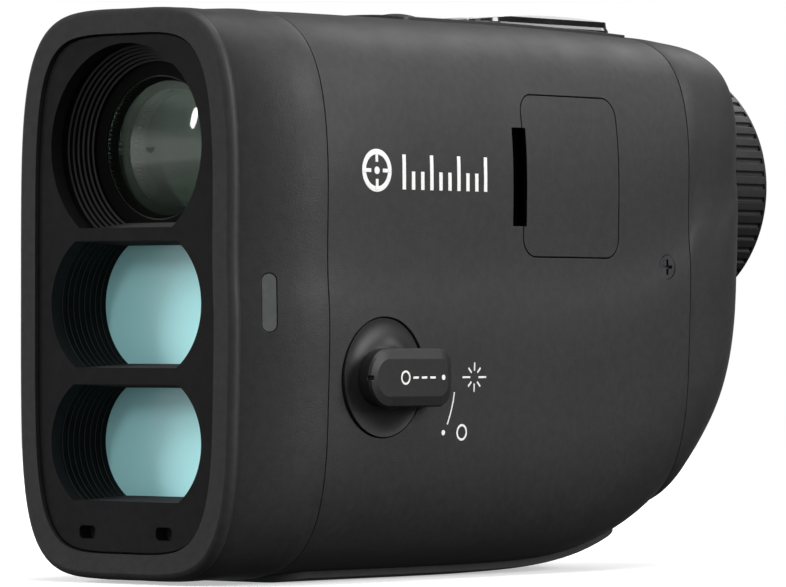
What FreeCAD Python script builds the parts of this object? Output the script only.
import FreeCAD, Part
import math
import os
from FreeCAD import Vector

# Camera-type laser rangefinder, held to the eye in one hand. Millimetres, +Z up.
# The lenses face -Y, the eyepiece faces +Y, and the terminal door and laser switch are on +X.
# Everything is laid out with Y = 0 at the front rim and Z = 0 under the foot. Each piece is
# moved by DATUM when it is written, so the origin is the mouth of the tripod socket.

# Driving dimensions
WALL = 1.6                      # shell thickness
SEAM = 0.08                     # half of the visible gap at each seam
FIT = 0.2                       # gap round a moving cap or door
RUN = 0.05                      # radial clearance of a running fit
FRONT_SEAM_Y = 13.0
REAR_SEAM_Y = 88.7
SOCKET_Y = 40.0                 # tripod socket, from the front rim
DATUM = Vector(0, -SOCKET_Y, 0)

OBJECTIVE_Z = 57.0
OBJECTIVE_R = 13.46
OBJECTIVE_FLAT = 10.6           # the bore's flat, below its axis
LENS_R = 9.35
LENS_Y = 6.9
RECEIVER_Z = 36.4
EMITTER_Z = 18.3
WINDOW_HALF = 13.4
WINDOW_ARC_R = 10.0
RECEIVER_FLAT = 8.26
EMITTER_FLAT = 7.6
GLASS_Y = 9.8                   # front of both laser windows
GLASS_T = 1.3
PANEL_Y = 0.5
PANEL_T = 2.0

EYEPIECE_Z = 53.6
TUBE_R = 14.0                   # eyepiece tube
TUBE_BORE = 12.0
DIAL_R = 17.9
DIAL_Y0 = 105.8
DIAL_Y1 = 115.4
DIAL_NOSE = 0.4                 # chamfer at the dial's rear edge
DIAL_RIDGES = 60
REAR_END_Y = 105.3

LEVER_Y = 23.15
LEVER_Z = 26.84
LEVER_DISC_R = 7.77
LEVER_TOP_X = 28.2
SIDE_X = 25.0

DOOR_Y0, DOOR_Y1 = 52.0, 72.4
DOOR_Z0, DOOR_Z1 = 43.0, 64.65
DOOR_CORNER = 2.5
DOOR_INNER_X = 22.6             # back of the door's rim; it swings about its own outer rear edge

TOP_PLATE_Y0, TOP_PLATE_Y1 = 39.0, 89.6
TOP_PLATE_HALF = 13.5
TOP_PLATE_CORNER = 2.6
ISLAND_HALF, ISLAND_CORNER = 12.4, 4.0
ISLAND_Y0, ISLAND_Y1 = 58.2, 88.2
ISLAND_TOP_Z = 76.6             # highest line of its crowned top, which falls away fore and aft
ISLAND_CROWN_R = 143.0
ISLAND_CROWN_Y = 75.0
MAIN_KEY_Y = 71.0
FOOT_Y0, FOOT_Y1, FOOT_HALF = 15.0, 86.6, 15.0
SCREW_Y, SCREW_Z = 83.5, 41.8

# Hull stations: y, half width, lowest z, widest z, highest z, squareness below, squareness above.
# The squareness is the exponent of the superellipse that each quarter of a section follows.
RIM_STATIONS = (
    (0.0, 18.4, 1.35, 37.8, 74.2, 4.8, 4.6),
    (0.4, 18.95, 0.75, 37.8, 74.8, 4.8, 4.6),
    (1.0, 19.2, 0.5, 37.8, 75.0, 4.8, 4.6),
    (1.6, 19.1, 0.6, 37.8, 74.9, 4.8, 4.6),
)
FLARE_STATIONS = (
    (1.6, 19.1, 0.6, 37.8, 74.9, 4.8, 4.6),
    (2.3, 19.75, 0.4, 37.8, 75.0, 4.8, 4.6),
    (4.5, 21.4, 0.35, 37.8, 74.95, 4.8, 4.6),
    (8.0, 23.2, 0.4, 37.8, 74.95, 4.7, 4.6),
    (13.0, 24.3, 0.6, 37.8, 75.0, 4.6, 4.6),
)
MAIN_STATIONS = (
    (13.0, 24.3, 0.6, 37.8, 75.0, 4.6, 4.6),
    (25.0, 25.0, 0.7, 37.8, 75.1, 4.7, 4.7),
    (45.0, 25.0, 0.7, 37.8, 75.1, 4.7, 4.8),
    (60.0, 25.0, 0.9, 37.8, 75.1, 4.7, 4.8),
    (70.0, 24.9, 1.5, 38.4, 75.0, 4.6, 4.7),
    (80.0, 24.7, 3.6, 40.4, 74.8, 4.5, 4.6),
    (88.7, 24.4, 7.6, 44.4, 74.5, 4.4, 4.5),
)
REAR_STATIONS = (
    (88.7, 24.4, 7.6, 44.4, 74.5, 4.4, 4.5),
    (95.0, 23.9, 11.8, 47.4, 74.1, 4.6, 4.8),
    (100.0, 23.0, 17.0, 50.4, 73.3, 4.6, 4.9),
    (103.0, 21.7, 21.6, 53.4, 71.3, 4.6, 4.7),
    (104.7, 19.8, 25.8, 53.4, 68.7, 4.4, 4.4),
    (105.3, 18.4, 27.6, 53.4, 67.5, 4.4, 4.4),
)
SECTION_ANGLES = (0, 8, 20, 34, 48, 62, 75, 84)

PIECES = {}


def box(x0, x1, y0, y1, z0, z1):
    return Part.makeBox(x1 - x0, y1 - y0, z1 - z0, Vector(x0, y0, z0))


def rod(axis, radius, start, end, a, b):
    """Cylinder along X, Y or Z from start to end; a and b are the other two coordinates."""
    base = {"x": Vector(start, a, b), "y": Vector(a, start, b), "z": Vector(a, b, start)}[axis]
    way = {"x": Vector(1, 0, 0), "y": Vector(0, 1, 0), "z": Vector(0, 0, 1)}[axis]
    return Part.makeCylinder(radius, end - start, base, way)


def ring(axis, outer, inner, start, end, a, b):
    return rod(axis, outer, start, end, a, b).cut(rod(axis, inner, start, end, a, b))


def plane_point(axis, level, a, b):
    return {"x": Vector(level, a, b), "y": Vector(a, level, b), "z": Vector(a, b, level)}[axis]


def rounded_wire(axis, level, a0, a1, b0, b1, corner):
    """Rounded rectangle in the plane axis = level."""
    def at(a, b):
        return plane_point(axis, level, a, b)

    k = corner * (1 - math.sqrt(0.5))
    edges = [
        Part.makeLine(at(a0 + corner, b0), at(a1 - corner, b0)),
        Part.Arc(at(a1 - corner, b0), at(a1 - k, b0 + k), at(a1, b0 + corner)).toShape(),
        Part.makeLine(at(a1, b0 + corner), at(a1, b1 - corner)),
        Part.Arc(at(a1, b1 - corner), at(a1 - k, b1 - k), at(a1 - corner, b1)).toShape(),
        Part.makeLine(at(a1 - corner, b1), at(a0 + corner, b1)),
        Part.Arc(at(a0 + corner, b1), at(a0 + k, b1 - k), at(a0, b1 - corner)).toShape(),
        Part.makeLine(at(a0, b1 - corner), at(a0, b0 + corner)),
        Part.Arc(at(a0, b0 + corner), at(a0 + k, b0 + k), at(a0 + corner, b0)).toShape(),
    ]
    return Part.Wire(edges)


def prism(wire, axis, length):
    way = {"x": Vector(length, 0, 0), "y": Vector(0, length, 0), "z": Vector(0, 0, length)}[axis]
    return Part.Face(wire).extrude(way)


def rounded_block(axis, start, end, a0, a1, b0, b1, corner):
    return prism(rounded_wire(axis, start, a0, a1, b0, b1, corner), axis, end - start)


def fuse_all(shapes):
    first = shapes[0]
    return first.multiFuse(shapes[1:]).removeSplitter()


def quarter(angle, power):
    c = max(0.0, math.cos(math.radians(angle)))
    s = max(0.0, math.sin(math.radians(angle)))
    return c ** (2.0 / power), s ** (2.0 / power)


def section_points(station, inset):
    y, half, low, middle, high, power_low, power_high = station
    half -= inset
    low += inset
    high -= inset
    points = []
    for turn in range(4):
        power = power_high if turn < 2 else power_low
        height = high - middle if turn < 2 else middle - low
        for angle in SECTION_ANGLES:
            mirrored = turn % 2 == 1
            across, up = quarter(90 - angle if mirrored else angle, power)
            side = -1 if turn in (1, 2) else 1
            rise = 1 if turn < 2 else -1
            points.append(Vector(side * half * across, y, middle + rise * height * up))
    return points


def shared_parameters():
    points = section_points(MAIN_STATIONS[2], 0)
    values = [0.0]
    for i in range(len(points)):
        step = (points[(i + 1) % len(points)] - points[i]).Length
        values.append(values[-1] + step)
    return values


def section_wire(station, inset):
    curve = Part.BSplineCurve()
    curve.interpolate(
        Points=section_points(station, inset), PeriodicFlag=True, Parameters=shared_parameters()
    )
    return Part.Wire([curve.toShape()])


def hull(stations, inset=0.0):
    return Part.makeLoft([section_wire(s, inset) for s in stations], True, False)


def moved_station(station, y):
    return (y,) + station[1:]


def between(y0, y1):
    big = 100
    return box(-big, big, y0, y1, -big, 2 * big)


def superellipse_prism(half, low, high, power, y0, y1):
    """Straight prism along Y with a superellipse section."""
    station = (y0, half, low, (low + high) / 2, high, power, power)
    return prism(section_wire(station, 0), "y", y1 - y0)


# Openings of the front


def window_wire(y, half, flat, centre_z):
    """Obround with flat top and bottom and bulging ends, in a plane across Y."""
    arc_r = WINDOW_ARC_R * flat / RECEIVER_FLAT
    centre_x = half - arc_r
    reach = centre_x + math.sqrt(arc_r ** 2 - flat ** 2)
    signs = ((-1, 1), (1, 1), (1, -1), (-1, -1))
    corners = [Vector(s * reach, y, centre_z + t * flat) for s, t in signs]
    right = Part.Arc(corners[1], Vector(half, y, centre_z), corners[2]).toShape()
    left = Part.Arc(corners[3], Vector(-half, y, centre_z), corners[0]).toShape()
    top = Part.makeLine(corners[0], corners[1])
    bottom = Part.makeLine(corners[2], corners[3])
    return Part.Wire([top, right, bottom, left])


def window_prism(y0, y1, half, flat, centre_z):
    return prism(window_wire(y0, half, flat, centre_z), "y", y1 - y0)


def objective_prism(y0, y1, radius, flat):
    disc = rod("y", radius, y0, y1, 0, OBJECTIVE_Z)
    below = box(-radius, radius, y0, y1, OBJECTIVE_Z - 2 * radius, OBJECTIVE_Z - flat)
    return disc.cut(below)


def mic_slots(y0, y1, grow):
    slots = []
    for side in (-1, 1):
        x = side * 6.85
        slots.append(rounded_block("y", y0, y1, x - 1.45 - grow, x + 1.45 + grow,
                                   5.75 - grow, 7.45 + grow, 0.6))
    return slots


# Front group


def front_shell():
    outer = fuse_all([hull(RIM_STATIONS), hull(FLARE_STATIONS)])
    panel_hole = superellipse_prism(15.95, 3.85, 71.7, 4.9, -1, PANEL_Y + PANEL_T)
    ledge_hole = superellipse_prism(14.9, 4.9, 70.65, 4.9, 0, 6)
    inner = [moved_station(FLARE_STATIONS[1], 4.2)] + list(FLARE_STATIONS[2:])
    inner[-1] = moved_station(inner[-1], FRONT_SEAM_Y + 0.5)
    shell = outer.cut(panel_hole).cut(ledge_hole).cut(hull(inner, WALL))
    lamp = lamp_slot(0.1)
    trim = between(FRONT_SEAM_Y - SEAM, FRONT_SEAM_Y + 2)
    PIECES["front_shell"] = shell.cut(lamp).cut(trim)


def lamp_slot(grow):
    """Pill-shaped slot through the flared side, square to it."""
    half_w = 0.97 + grow
    slot = rounded_block("x", 17, 25, -half_w, half_w, -3.75 - grow, 3.75 + grow, half_w - 0.01)
    slot.rotate(Vector(21, 0, 0), Vector(0, 0, 1), -28)
    slot.translate(Vector(0.6, 4.6, 36.55))
    return slot


def front_panel():
    y0, y1 = PANEL_Y, PANEL_Y + PANEL_T
    panel = superellipse_prism(15.7, 4.1, 71.45, 4.9, y0, y1)
    holes = [
        objective_prism(y0 - 1, y1 + 1, OBJECTIVE_R, OBJECTIVE_FLAT),
        window_prism(y0 - 1, y1 + 1, WINDOW_HALF, RECEIVER_FLAT, RECEIVER_Z),
        window_prism(y0 - 1, y1 + 1, WINDOW_HALF, EMITTER_FLAT, EMITTER_Z),
    ]
    holes += mic_slots(y0 - 1, y1 + 1, 0)
    for hole in holes:
        panel = panel.cut(hole)
    PIECES["front_panel"] = panel


def objective_hood():
    """Dark tube behind the panel: one plain length, then six baffle steps closing in on the lens."""
    y0, steps, step_y, step_r = PANEL_Y + PANEL_T, 6, 0.55, 0.36
    y1 = LENS_Y + 0.15
    body = objective_prism(y0, y1, OBJECTIVE_R + 0.9, OBJECTIVE_FLAT + 0.4)
    hood = body.cut(objective_prism(y0 - 1, 3.6, OBJECTIVE_R, OBJECTIVE_FLAT))
    for i in range(steps):
        start = 3.6 + i * step_y
        radius = OBJECTIVE_R - (i + 1) * step_r
        flat = min(OBJECTIVE_FLAT - 0.12 * (i + 1), radius)
        hood = hood.cut(objective_prism(start - 0.01, start + step_y, radius, flat))
    hood = hood.cut(rod("y", LENS_R + 0.15, y1 - 0.6, y1 + 1, 0, OBJECTIVE_Z))
    PIECES["objective_hood"] = hood.common(superellipse_prism(14.7, 5.1, 70.45, 4.9, 0, 20))


def window_hood(name, flat, centre_z):
    """Baffle funnel in front of a laser window, stepped all the way down."""
    y0, y1 = PANEL_Y + PANEL_T, GLASS_Y
    steps = 8
    body = window_prism(y0, y1, WINDOW_HALF + 0.75, flat + 0.42, centre_z)
    hood = body
    for i in range(steps):
        start = y0 + i * (y1 - y0) / steps
        end = y0 + (i + 1) * (y1 - y0) / steps
        shrink = (i + 1) / steps
        half = WINDOW_HALF - 1.0 * shrink
        hood = hood.cut(window_prism(start - 0.01, end + 0.01, half, flat - 0.45 * shrink, centre_z))
    PIECES[name + "_hood"] = hood


def window_glass(name, flat, centre_z):
    glass = window_prism(GLASS_Y + 0.02, GLASS_Y + GLASS_T, WINDOW_HALF - 0.2, flat + 0.1, centre_z)
    PIECES[name + "_window"] = glass


def microphones():
    caps = []
    for side in (-1, 1):
        x = side * 6.85
        caps.append(rounded_block("y", PANEL_Y + PANEL_T + 0.1, 6.0, x - 2.0, x + 2.0, 5.5, 7.9, 0.5))
    PIECES["microphones"] = Part.makeCompound(caps)


def status_lamp():
    PIECES["status_lamp"] = lamp_slot(0).common(hull(FLARE_STATIONS, 0.1)).cut(hull_inner_front())


def hull_inner_front():
    inner = [moved_station(FLARE_STATIONS[1], 4.2)] + list(FLARE_STATIONS[2:])
    return hull(inner, WALL + 0.1)


# Objective, receiver and emitter


def lens(name, radius, y0, y1, front_bulge, rear_bulge, centre_z):
    """Round lens turned about its own axis; y0 and y1 are the two ends of its rim."""
    def at(r, y):
        return Vector(r, y, centre_z)

    def face_edge(y, bulge, inward):
        tip = at(0, y - bulge)
        if bulge == 0:
            return Part.makeLine(at(radius, y), tip) if inward else Part.makeLine(tip, at(radius, y))
        ball_r = (radius ** 2 + bulge ** 2) / (2 * abs(bulge))
        middle_r = radius / 2
        sag = math.copysign(ball_r - math.sqrt(ball_r ** 2 - middle_r ** 2), bulge)
        middle = at(middle_r, y - bulge + sag)
        ends = (at(radius, y), tip) if inward else (tip, at(radius, y))
        return Part.Arc(ends[0], middle, ends[1]).toShape()

    outline = Part.Wire([
        face_edge(y0, front_bulge, False),
        Part.makeLine(at(radius, y0), at(radius, y1)),
        face_edge(y1, -rear_bulge, True),
        Part.makeLine(at(0, y1 + rear_bulge), at(0, y0 - front_bulge)),
    ])
    PIECES[name] = Part.Face(outline).revolve(at(0, 0), Vector(0, 1, 0), 360)


def objective_group():
    z = OBJECTIVE_Z
    lens("objective_lens", LENS_R, LENS_Y + 0.2, 9.6, 1.9, 0, z)
    barrel = rod("y", 11.6, 7.15, 39.0, 0, z)
    for radius, y0, y1 in ((LENS_R, 7.0, 9.6), (7.5, 9.5, 14.1), (6.8, 14.0, 39.1)):
        barrel = barrel.cut(rod("y", radius, y0, y1, 0, z))
    chamfer = Part.makeCone(8.6, 7.5, 0.9, Vector(0, 9.6, z), Vector(0, 1, 0))
    barrel = barrel.cut(chamfer)
    PIECES["objective_barrel"] = barrel
    lens("objective_rear_lens", 7.5, 11.6, 13.9, 0.9, 0, z)
    PIECES["image_sensor"] = rounded_block("y", 39.1, 41.0, -6, 6, z - 5, z + 5, 0.6)
    PIECES["sensor_board"] = rounded_block("y", 41.05, 42.2, -12, 12, z - 11, z + 11.5, 1.5)


def funnel(name, flat, centre_z, throat_r, y_throat):
    """Light-tight tube from a laser window down to its diode."""
    y0 = GLASS_Y + GLASS_T + 0.05
    outer = window_prism(y0, y0 + 9.0, WINDOW_HALF + 0.2, flat + 0.4, centre_z)
    neck = rod("y", throat_r + 1.2, y0 + 9.0, y_throat, 0, centre_z)
    bore = rod("y", throat_r, y0 - 1, y_throat + 1, 0, centre_z)
    mouth = window_prism(y0 - 1, y0 + 2.0, WINDOW_HALF - 1.4, flat - 0.9, centre_z)
    PIECES[name + "_barrel"] = outer.fuse(neck).cut(bore).cut(mouth).removeSplitter()


def ranging_group():
    funnel("receiver", RECEIVER_FLAT, RECEIVER_Z, 6.2, 33.0)
    funnel("emitter", EMITTER_FLAT, EMITTER_Z, 5.6, 33.0)
    lens("receiver_lens", 6.2, 16.0, 18.4, 1.2, 0, RECEIVER_Z)
    lens("emitter_lens", 5.6, 16.0, 18.4, 1.2, 0, EMITTER_Z)
    PIECES["receiver_diode"] = rod("y", 4.1, 33.3, 36.9, 0, RECEIVER_Z)
    PIECES["laser_diode"] = rod("y", 2.8, 33.3, 36.9, 0, EMITTER_Z)
    PIECES["ranging_board"] = rounded_block("y", 36.95, 38.1, -13, 13, 8.5, 44.0, 1.5)


# Main shells


def main_solid(inset=0.0):
    return hull(MAIN_STATIONS, inset)


def inner_main():
    stations = [moved_station(MAIN_STATIONS[0], FRONT_SEAM_Y - 0.5)]
    stations += list(MAIN_STATIONS[1:-1])
    stations += [moved_station(MAIN_STATIONS[-1], REAR_SEAM_Y + 0.5)]
    return hull(stations, WALL)


def door_opening(grow, x0, x1):
    return rounded_block("x", x0, x1, DOOR_Y0 - grow, DOOR_Y1 + grow,
                         DOOR_Z0 - grow, DOOR_Z1 + grow, DOOR_CORNER + grow)


def finger_notch():
    return rounded_block("x", 23.9, 26, 49.7, DOOR_Y0 + 0.5, 47.0, 60.2, 0.9)


def top_plate_outline(grow=0.0):
    return rounded_block("z", 70, 80, -TOP_PLATE_HALF - grow, TOP_PLATE_HALF + grow,
                         TOP_PLATE_Y0 - grow, TOP_PLATE_Y1 + grow, TOP_PLATE_CORNER + grow)


def lifted_main(lift):
    solid = main_solid()
    solid.translate(Vector(0, 0, lift))
    return solid


def key_wells():
    """Holes in the shell's top for the four keys."""
    wells = [rounded_block("z", 70, 80, -7.7, 7.7, 63.5, 78.5, 6.7), rod("z", 3.2, 70, 80, 0, 82.9)]
    return wells + [rod("z", 3.3, 70, 80, x, 49.0) for x in (-4.6, 4.6)]


def side_screw(side, head_grow, shank_grow):
    """Countersunk screw through a side wall: its head sits just under the surface."""
    x = side * 24.55
    head = Part.makeCylinder(1.65 + head_grow, 0.9, Vector(x, SCREW_Y, SCREW_Z), Vector(-side, 0, 0))
    if head_grow:
        above = Part.makeCylinder(1.65 + head_grow, 2, Vector(x, SCREW_Y, SCREW_Z), Vector(side, 0, 0))
        head = head.fuse(above)
    shank = Part.makeCylinder(0.8 + shank_grow, 6.4, Vector(x, SCREW_Y, SCREW_Z), Vector(-side, 0, 0))
    return head.fuse(shank)


def foot_screws(head_grow, shank_grow):
    screws = []
    for x, y in ((-9.5, 22.0), (9.5, 22.0), (-9.5, 64.0), (9.5, 64.0)):
        head = rod("z", 1.8 + head_grow, -0.5 if head_grow else 0.3, 1.3, x, y)
        screws.append(head.fuse(rod("z", 0.85 + shank_grow, 1.2, 6.2, x, y)))
    return screws


def main_shells():
    sleeve = main_solid().cut(inner_main())
    sleeve = sleeve.cut(between(0, FRONT_SEAM_Y + SEAM)).cut(between(REAR_SEAM_Y - SEAM, 200))
    sleeve = sleeve.cut(door_opening(FIT, 20, 30)).cut(finger_notch())
    sleeve = sleeve.cut(rod("x", LEVER_DISC_R + FIT, 20, 30, LEVER_Y, LEVER_Z))
    for side in (-1, 1):
        sleeve = sleeve.cut(side_screw(side, 0.08, 0.1))
    sleeve = sleeve.cut(top_plate_outline(0.1).cut(lifted_main(-0.8)))
    for well in key_wells():
        sleeve = sleeve.cut(well)
    for cut in foot_screws(0.1, 0.1):
        sleeve = sleeve.cut(cut)
    sleeve = sleeve.cut(rod("z", 5.0, -1, 6, 0, SOCKET_Y))
    sleeve = sleeve.cut(eyelet_slot(0.05))
    gap = 0.03
    big = 100
    PIECES["right_shell"] = sleeve.common(box(gap, big, 0, 2 * big, -big, 2 * big))
    PIECES["left_shell"] = sleeve.common(box(-big, -gap, 0, 2 * big, -big, 2 * big))


def eyelet_slot(grow):
    """Seat of the strap bar in the left side, near the rear seam."""
    return rounded_block("x", -30, -22.6, 76.0 - grow, 84.5 + grow, 13.4 - grow, 20.6 + grow, 1.4)


def strap_eyelet():
    """Shallow tray with a bar across it, for a wrist strap's loop."""
    tray = eyelet_slot(0).common(main_solid(0.1))
    hollow = rounded_block("x", -30, -23.4, 76.8, 83.7, 14.2, 19.8, 0.8)
    hollow_left = hollow.cut(box(-30, -22, 79.6, 80.9, 10, 24))
    PIECES["strap_eyelet"] = tray.cut(hollow_left)


def foot():
    low = main_solid()
    low.translate(Vector(0, 0, -0.95))
    outline = rounded_block("z", 0, 12, -FOOT_HALF, FOOT_HALF, FOOT_Y0, FOOT_Y1, 5.0)
    pad = low.common(outline).cut(main_solid())
    pad = pad.cut(rod("z", 5.3, -1, 6, 0, SOCKET_Y))
    for cut in foot_screws(0.1, 0.1):
        pad = pad.cut(cut)
    PIECES["foot"] = pad


def tripod_bush():
    bush = rod("z", 4.9, 0, 2.6, 0, SOCKET_Y).fuse(rod("z", 6.6, 2.6, 4.0, 0, SOCKET_Y))
    bush = bush.fuse(rod("z", 4.9, 4.0, 7.0, 0, SOCKET_Y))
    PIECES["tripod_bush"] = bush.cut(rod("z", 2.6, -1, 6.0, 0, SOCKET_Y)).removeSplitter()


def seals():
    """Cord seals lying inside both seams."""
    cords = []
    for station, inset in ((MAIN_STATIONS[0], WALL + 0.7), (MAIN_STATIONS[-1], WALL + 0.7)):
        y = station[0]
        outer = prism(section_wire(moved_station(station, y - 0.6), inset), "y", 1.2)
        inner = prism(section_wire(moved_station(station, y - 1.6), inset + 1.0), "y", 3.2)
        cords.append(outer.cut(inner))
    PIECES["seam_seals"] = Part.makeCompound(cords)


# Terminal door and bay


def terminal_door():
    blank = main_solid().common(door_opening(0, DOOR_INNER_X, 30))
    hollow = rounded_block("x", 21, 23.7, DOOR_Y0 + 1.4, DOOR_Y1 - 1.4, DOOR_Z0 + 1.4, DOOR_Z1 - 3.2, 1.4)
    PIECES["terminal_door"] = blank.cut(hollow)


def hinge_strip():
    """Flexible strip behind the shell that holds the door's rear edge, drawn with the door shut."""
    strip = box(22.5, 22.8, DOOR_Y1 + 0.05, DOOR_Y1 + 3.2, DOOR_Z0 + 3.0, DOOR_Z1 - 6.0)
    PIECES["door_hinge_strip"] = strip


def terminal_bay():
    x0, x1 = 19.6, 20.6
    floor = rounded_block("x", x0, x1, DOOR_Y0 - 0.6, DOOR_Y1 + 1.0, DOOR_Z0 - 0.8, DOOR_Z1 + 0.2, 2.0)
    tray = rounded_block("x", x0, 22.3, DOOR_Y0 - 0.6, DOOR_Y1 + 1.0, DOOR_Z0 - 0.8, DOOR_Z1 + 0.2, 2.0)
    hollow = rounded_block("x", x1, 30, DOOR_Y0 + 0.2, DOOR_Y1 + 0.25, DOOR_Z0 - 0.1, DOOR_Z1 - 0.6, 1.5)
    bay = tray.cut(hollow).fuse(floor).common(main_solid(WALL + 0.05))
    bay = bay.cut(rounded_block("x", 10, 30, 56.0, 59.6, 47.2, 56.6, 1.7))
    bay = bay.cut(box(10, 30, 63.6, 65.4, 46.0, 58.0))
    PIECES["terminal_bay"] = bay
    shell = rounded_block("x", 13.6, 20.9, 56.1, 59.5, 47.3, 56.5, 1.6)
    mouth = rounded_block("x", 14.6, 21.0, 56.5, 59.1, 47.7, 56.1, 1.25)
    tongue = box(14.0, 20.2, 57.45, 58.15, 48.6, 55.2)
    PIECES["usb_socket"] = shell.cut(mouth).fuse(tongue).removeSplitter()
    slot = box(8.0, 20.8, 63.7, 65.3, 46.1, 57.9)
    PIECES["card_socket"] = slot.cut(box(9.0, 21.0, 64.05, 64.95, 46.5, 57.5))


# Laser switch lever


def lever_outline(x, nose_y, tail_y, half, corner):
    """Bullet shape: a half-round nose towards the front and a softly squared tail."""
    z = LEVER_Z

    def at(y, dz):
        return Vector(x, y, z + dz)

    k = corner * (1 - math.sqrt(0.5))
    return Part.Wire([
        Part.Arc(at(nose_y + half, -half), at(nose_y, 0), at(nose_y + half, half)).toShape(),
        Part.makeLine(at(nose_y + half, half), at(tail_y - corner, half)),
        Part.Arc(at(tail_y - corner, half), at(tail_y - k, half - k), at(tail_y, half - corner)).toShape(),
        Part.makeLine(at(tail_y, half - corner), at(tail_y, corner - half)),
        Part.Arc(at(tail_y, corner - half), at(tail_y - k, k - half), at(tail_y - corner, -half)).toShape(),
        Part.makeLine(at(tail_y - corner, -half), at(nose_y + half, -half)),
    ])


def lever_disc():
    """Disc flush with the side that flares up, trumpet-like, to the grip's neck."""
    def at(x, r):
        return Vector(x, LEVER_Y, LEVER_Z + r)

    back, face, neck_x, neck_r = 22.7, SIDE_X - 0.05, 26.5, 4.1
    outline = Part.Wire([
        Part.makeLine(at(back, 0), at(back, LEVER_DISC_R)),
        Part.makeLine(at(back, LEVER_DISC_R), at(face, LEVER_DISC_R)),
        Part.Arc(at(face, LEVER_DISC_R), at(face + 0.3, 5.6), at(neck_x, neck_r)).toShape(),
        Part.makeLine(at(neck_x, neck_r), at(neck_x, 0)),
        Part.makeLine(at(neck_x, 0), at(back, 0)),
    ])
    return Part.Face(outline).revolve(at(0, 0), Vector(1, 0, 0), 360)


def laser_lever():
    low = lever_outline(25.35, LEVER_Y - 5.6, LEVER_Y + 10.3, 3.8, 2.4)
    brow = lever_outline(27.6, LEVER_Y - 6.2, LEVER_Y + 10.2, 3.85, 2.4)
    rim = lever_outline(27.95, LEVER_Y - 6.0, LEVER_Y + 10.0, 3.65, 2.2)
    crown = lever_outline(LEVER_TOP_X, LEVER_Y - 5.0, LEVER_Y + 9.1, 2.45, 1.6)
    levels = [low, brow, rim, crown]
    grip = [Part.makeLoft(list(pair), True, True) for pair in zip(levels, levels[1:])]
    notch = box(27.3, 30, LEVER_Y - 6.5, LEVER_Y - 5.55, LEVER_Z - 0.3, LEVER_Z + 0.3)
    shaft = rod("x", 2.0, 16.2, 22.8, LEVER_Y, LEVER_Z).cut(ring("x", 3, 1.5, 17.0, 17.6, LEVER_Y, LEVER_Z))
    PIECES["laser_lever"] = fuse_all([lever_disc(), shaft] + grip).cut(notch)
    PIECES["lever_clip"] = ring("x", 3.4, 1.5, 17.0, 17.6, LEVER_Y, LEVER_Z)


def lever_bearing():
    plate = rounded_block("x", 20.9, 22.4, LEVER_Y - 9.4, LEVER_Y + 9.4, LEVER_Z - 9.4, LEVER_Z + 9.4, 3)
    hub = rod("x", 4.0, 19.0, 21.0, LEVER_Y, LEVER_Z)
    plate = plate.fuse(hub).cut(rod("x", 2.0 + RUN, 10, 30, LEVER_Y, LEVER_Z))
    PIECES["lever_bearing"] = plate.common(main_solid(WALL + 0.3)).removeSplitter()
    leaf = box(18.75, 18.95, LEVER_Y - 7.5, LEVER_Y + 7.5, LEVER_Z - 1.6, LEVER_Z + 1.6)
    PIECES["detent_spring"] = leaf.cut(rod("x", 2.4, 10, 30, LEVER_Y, LEVER_Z))
    PIECES["lever_switch"] = rounded_block("x", 13.9, 15.9, LEVER_Y - 4, LEVER_Y + 4,
                                           LEVER_Z - 1.3, LEVER_Z + 6.5, 0.8)


# Top plate and buttons


def top_plate():
    plate = lifted_main(0.4).common(top_plate_outline()).cut(lifted_main(-0.75))
    plate = plate.cut(prism(island_wire(-0.1, 70), "z", 10))
    for x in (-4.6, 4.6):
        plate = plate.cut(rod("z", 3.0 + FIT, 70, 80, x, 49.0))
    PIECES["top_plate"] = plate


def island_wire(inset, z):
    return rounded_wire("z", z, inset - ISLAND_HALF, ISLAND_HALF - inset, ISLAND_Y0 + inset,
                        ISLAND_Y1 - inset, ISLAND_CORNER - inset)


def island_crown(lift=0.0):
    """Wide cylinder whose top line is the island's highest line."""
    axis_z = ISLAND_TOP_Z + lift - ISLAND_CROWN_R
    return rod("x", ISLAND_CROWN_R, -20, 20, ISLAND_CROWN_Y, axis_z)


def button_island():
    """Low plateau round the two main buttons: a sloped skirt, a wall and a crowned top."""
    base = prism(island_wire(0, 73.0), "z", 2.0).cut(lifted_main(-0.75))
    levels = ((0, 75.0), (0.25, 75.4), (0.35, 76.2), (0.8, ISLAND_TOP_Z + 0.1))
    wires = [island_wire(inset, z) for inset, z in levels]
    skirt = [Part.makeLoft(list(pair), True, True) for pair in zip(wires, wires[1:])]
    island = fuse_all([base] + skirt).common(island_crown())
    island = island.cut(rounded_block("z", 70, 80, -8.6, 8.6, 62.6, 79.4, 7.6))
    island = island.cut(rod("z", 2.9 + FIT, 70, 80, 0, 82.9))
    PIECES["button_island"] = island.removeSplitter()


def measure_button():
    trim_outer = rounded_block("z", 74.3, 77.0, -8.5, 8.5, 62.7, 79.3, 7.5)
    trim_inner = rounded_block("z", 74.0, 78.0, -7.5, 7.5, 63.7, 78.3, 6.5)
    trim = trim_outer.cut(trim_inner).cut(lifted_main(-0.75))
    PIECES["button_trim"] = trim.common(island_crown(0.05))
    cap = rounded_block("z", 73.5, 77.0, -7.3, 7.3, 63.9, 78.1, 6.3)
    ball_r = 70.0
    crown = Part.makeSphere(ball_r, Vector(0, MAIN_KEY_Y, ISLAND_TOP_Z - ball_r))
    stem = rod("z", 1.4, 71.6, 73.6, 0, MAIN_KEY_Y)
    PIECES["measure_button"] = cap.common(crown).fuse(stem).removeSplitter()


def round_button(name, radius, x, y, top_z):
    cap = rod("z", radius, top_z - 2.6, top_z, x, y)
    ball_r = 3.0 * radius
    crown = Part.makeSphere(ball_r, Vector(x, y, top_z - ball_r))
    stem = rod("z", 1.0, top_z - 4.6, top_z - 2.5, x, y)
    PIECES[name] = cap.common(crown).fuse(stem).removeSplitter()


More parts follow.
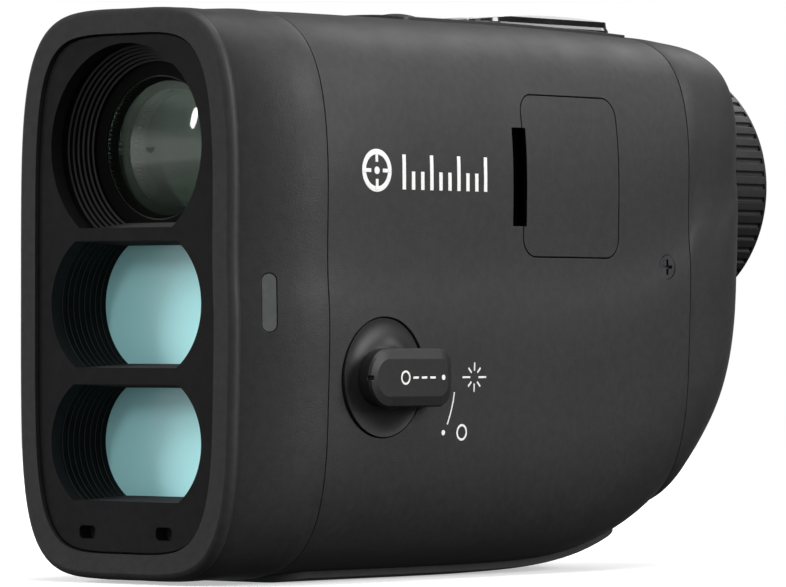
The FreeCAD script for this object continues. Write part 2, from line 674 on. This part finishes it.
def small_buttons():
    round_button("photo_button", 2.9, 0, 82.9, 76.55)
    round_button("power_button", 3.0, -4.6, 49.0, 76.15)
    round_button("menu_button", 3.0, 4.6, 49.0, 76.15)


def button_board():
    """Switch board under the top, one tact switch below each stem."""
    board = rounded_block("z", 69.7, 70.5, -9, 9, 44.0, 86.0, 2.0)
    board = board.cut(box(-20, 20, 52.5, 60.5, 60, 80).cut(box(-9, -4, 40, 90, 60, 80)))
    domes = [board]
    for x, y, stem_z in ((0, 71.0, 71.6), (0, 82.9, 71.95), (-4.6, 49.0, 71.55), (4.6, 49.0, 71.55)):
        domes.append(rod("z", 1.8, 70.52, stem_z - 0.55, x, y))
    PIECES["button_board"] = Part.makeCompound(domes)


# Rear cover and eyepiece


def rear_cover():
    outer = hull(REAR_STATIONS)
    inner = [moved_station(REAR_STATIONS[0], REAR_SEAM_Y - 0.5)] + list(REAR_STATIONS[1:3])
    inner += [moved_station(REAR_STATIONS[3], REAR_END_Y - 1.8)]
    cover = outer.cut(hull(inner, WALL))
    cover = cover.cut(rod("y", TUBE_R + 0.1, 90, 120, 0, EYEPIECE_Z))
    PIECES["rear_cover"] = cover.cut(between(0, REAR_SEAM_Y + SEAM))


def eyepiece_dial():
    z = EYEPIECE_Z
    body = rod("y", DIAL_R, DIAL_Y0, DIAL_Y1, 0, z)
    nose_start = DIAL_Y1 - DIAL_NOSE
    nose = Part.makeCone(DIAL_R, DIAL_R - DIAL_NOSE, DIAL_NOSE, Vector(0, nose_start, z), Vector(0, 1, 0))
    body = body.cut(between(nose_start, DIAL_Y1 + 1)).fuse(nose)
    body = body.cut(rod("y", TUBE_R + RUN, DIAL_Y0 - 1, 112.3, 0, z))
    body = body.cut(rod("y", 14.9, 112.2, DIAL_Y1 + 1, 0, z))
    grooves = []
    for i in range(DIAL_RIDGES):
        angle = 360.0 * i / DIAL_RIDGES
        groove = rod("y", 0.42, DIAL_Y0 + 0.7, DIAL_Y1 - 0.8, 0, z + DIAL_R + 0.1)
        groove.rotate(Vector(0, 0, z), Vector(0, 1, 0), angle)
        grooves.append(groove)
    PIECES["dioptre_dial"] = body.cut(Part.makeCompound(grooves)).removeSplitter()


def eyepiece_group():
    z = EYEPIECE_Z
    tube = ring("y", TUBE_R, TUBE_BORE, 99.0, 112.4, 0, z)
    flange = ring("y", 16.6, TUBE_BORE, 99.0, 100.4, 0, z)
    PIECES["eyepiece_tube"] = tube.fuse(flange).removeSplitter()
    carrier = rod("y", TUBE_BORE - 0.06, 100.8, 109.0, 0, z)
    for radius, y0, y1 in ((8.2, 100.0, 103.2), (7.0, 103.1, 104.6), (9.6, 104.5, 110.0)):
        carrier = carrier.cut(rod("y", radius, y0, y1, 0, z))
    PIECES["lens_carrier"] = carrier
    lens("field_lens", 8.2, 101.6, 103.0, 0.6, 0, z)
    lens("eye_lens", 9.6, 104.7, 107.5, 0, 1.0, z)
    cup = ring("y", 14.7, 9.9, 112.5, DIAL_Y1 - 0.1, 0, z)
    bevel = Part.makeCone(9.9, 11.9, 2.0, Vector(0, DIAL_Y1 - 2.1, z), Vector(0, 1, 0))
    PIECES["eyecup"] = cup.cut(bevel)


def viewfinder():
    z = EYEPIECE_Z
    panel = rounded_block("y", 84.2, 86.2, -8.5, 8.5, z - 7, z + 7, 0.8)
    board = rounded_block("y", 83.0, 84.15, -11, 11, z - 10, z + 10, 1.2)
    PIECES["display_module"] = Part.makeCompound([panel, board])
    shroud = ring("y", 11.2, 10.0, 86.25, 98.9, 0, z)
    back = ring("y", 11.2, 8.0, 86.25, 87.2, 0, z)
    PIECES["display_shroud"] = shroud.fuse(back).removeSplitter()


# Inside


def chassis():
    plate = rounded_block("x", -16.6, -15.2, 14.5, 86.0, 10.0, 66.0, 4.0)
    lightening = [
        rounded_block("x", -20, -10, 18.0, 36.0, 14.0, 30.0, 3.0),
        rounded_block("x", -20, -10, 46.0, 74.0, 40.0, 60.0, 3.0),
    ]
    for hole in lightening:
        plate = plate.cut(hole)
    deck = box(-16.6, 16.0, 44.4, 80.0, 37.6, 39.0)
    foot_rail = box(-12.5, 12.5, 19.0, 68.0, 4.1, 7.2)
    foot_rail = foot_rail.cut(rod("z", 6.8, 0, 20, 0, SOCKET_Y))
    for hole in foot_screws(0, 0):
        foot_rail = foot_rail.cut(hole)
    riser = box(-16.6, -15.2, 30, 66, 5.8, 12.0)
    tie = box(-16.6, -12.0, 30, 66, 5.8, 7.2)
    ears = []
    for side in (-1, 1):
        ear = box(min(side * 15.2, side * 22.8), max(side * 15.2, side * 22.8), 81.0, 86.0, 39.6, 44.0)
        ears.append(ear.cut(side_screw(side, 0, 0)))
    link = box(-16.6, 22.8, 79.8, 81.0, 37.6, 44.0)
    frame = fuse_all([plate, deck, foot_rail, riser, tie, link] + ears)
    PIECES["chassis"] = frame


def electronics():
    board = rounded_block("x", -19.4, -18.2, 18.0, 80.0, 14.0, 64.0, 2.5)
    shield_can = rounded_block("x", -21.2, -19.45, 28.0, 62.0, 22.0, 52.0, 1.0)
    PIECES["main_board"] = Part.makeCompound([board, shield_can])
    PIECES["battery"] = rounded_block("y", 44.6, 72.0, -11.0, 13.0, 8.0, 36.9, 3.0)
    PIECES["flex_cable"] = box(-14.9, -12.2, 41.3, 41.6, 50.0, 62.0).fuse(
        box(-15.1, -14.8, 41.3, 80.0, 61.2, 65.0).cut(box(-20, 0, 46, 70, 50, 61.3)))


def screws():
    sides = [side_screw(side, 0, 0) for side in (-1, 1)]
    crossed = []
    for side, screw in zip((-1, 1), sides):
        tip = side * 24.55
        for half_y, half_z in ((0.22, 1.05), (1.05, 0.22)):
            x0, x1 = sorted((tip - side * 0.5, tip + side))
            screw = screw.cut(box(x0, x1, SCREW_Y - half_y, SCREW_Y + half_y,
                                  SCREW_Z - half_z, SCREW_Z + half_z))
        crossed.append(screw)
    lower = []
    for screw in foot_screws(0, 0):
        centre = screw.BoundBox.Center
        for half_x, half_y in ((0.24, 1.1), (1.1, 0.24)):
            screw = screw.cut(box(centre.x - half_x, centre.x + half_x,
                                  centre.y - half_y, centre.y + half_y, 0, 0.8))
        lower.append(screw)
    PIECES["case_screws"] = Part.makeCompound(crossed + lower)


def build():
    front_shell()
    front_panel()
    objective_hood()
    for name, flat, z in (("receiver", RECEIVER_FLAT, RECEIVER_Z), ("emitter", EMITTER_FLAT, EMITTER_Z)):
        window_hood(name, flat, z)
        window_glass(name, flat, z)
    microphones()
    status_lamp()
    objective_group()
    ranging_group()
    main_shells()
    strap_eyelet()
    foot()
    tripod_bush()
    seals()
    terminal_door()
    hinge_strip()
    terminal_bay()
    laser_lever()
    lever_bearing()
    top_plate()
    button_island()
    measure_button()
    small_buttons()
    button_board()
    rear_cover()
    eyepiece_dial()
    eyepiece_group()
    viewfinder()
    chassis()
    electronics()
    screws()


def write():
    os.makedirs("parts", exist_ok=True)
    for name, shape in PIECES.items():
        placed = shape.copy()
        placed.translate(DATUM)
        placed.exportStep("parts/" + name + ".step")
        box_size = placed.BoundBox
        print("%-20s solids %2d valid %s volume %9.2f  x %6.2f..%6.2f y %6.2f..%6.2f z %6.2f..%6.2f" % (
            name, len(placed.Solids), placed.isValid(), placed.Volume,
            box_size.XMin, box_size.XMax, box_size.YMin, box_size.YMax, box_size.ZMin, box_size.ZMax))


build()
write()
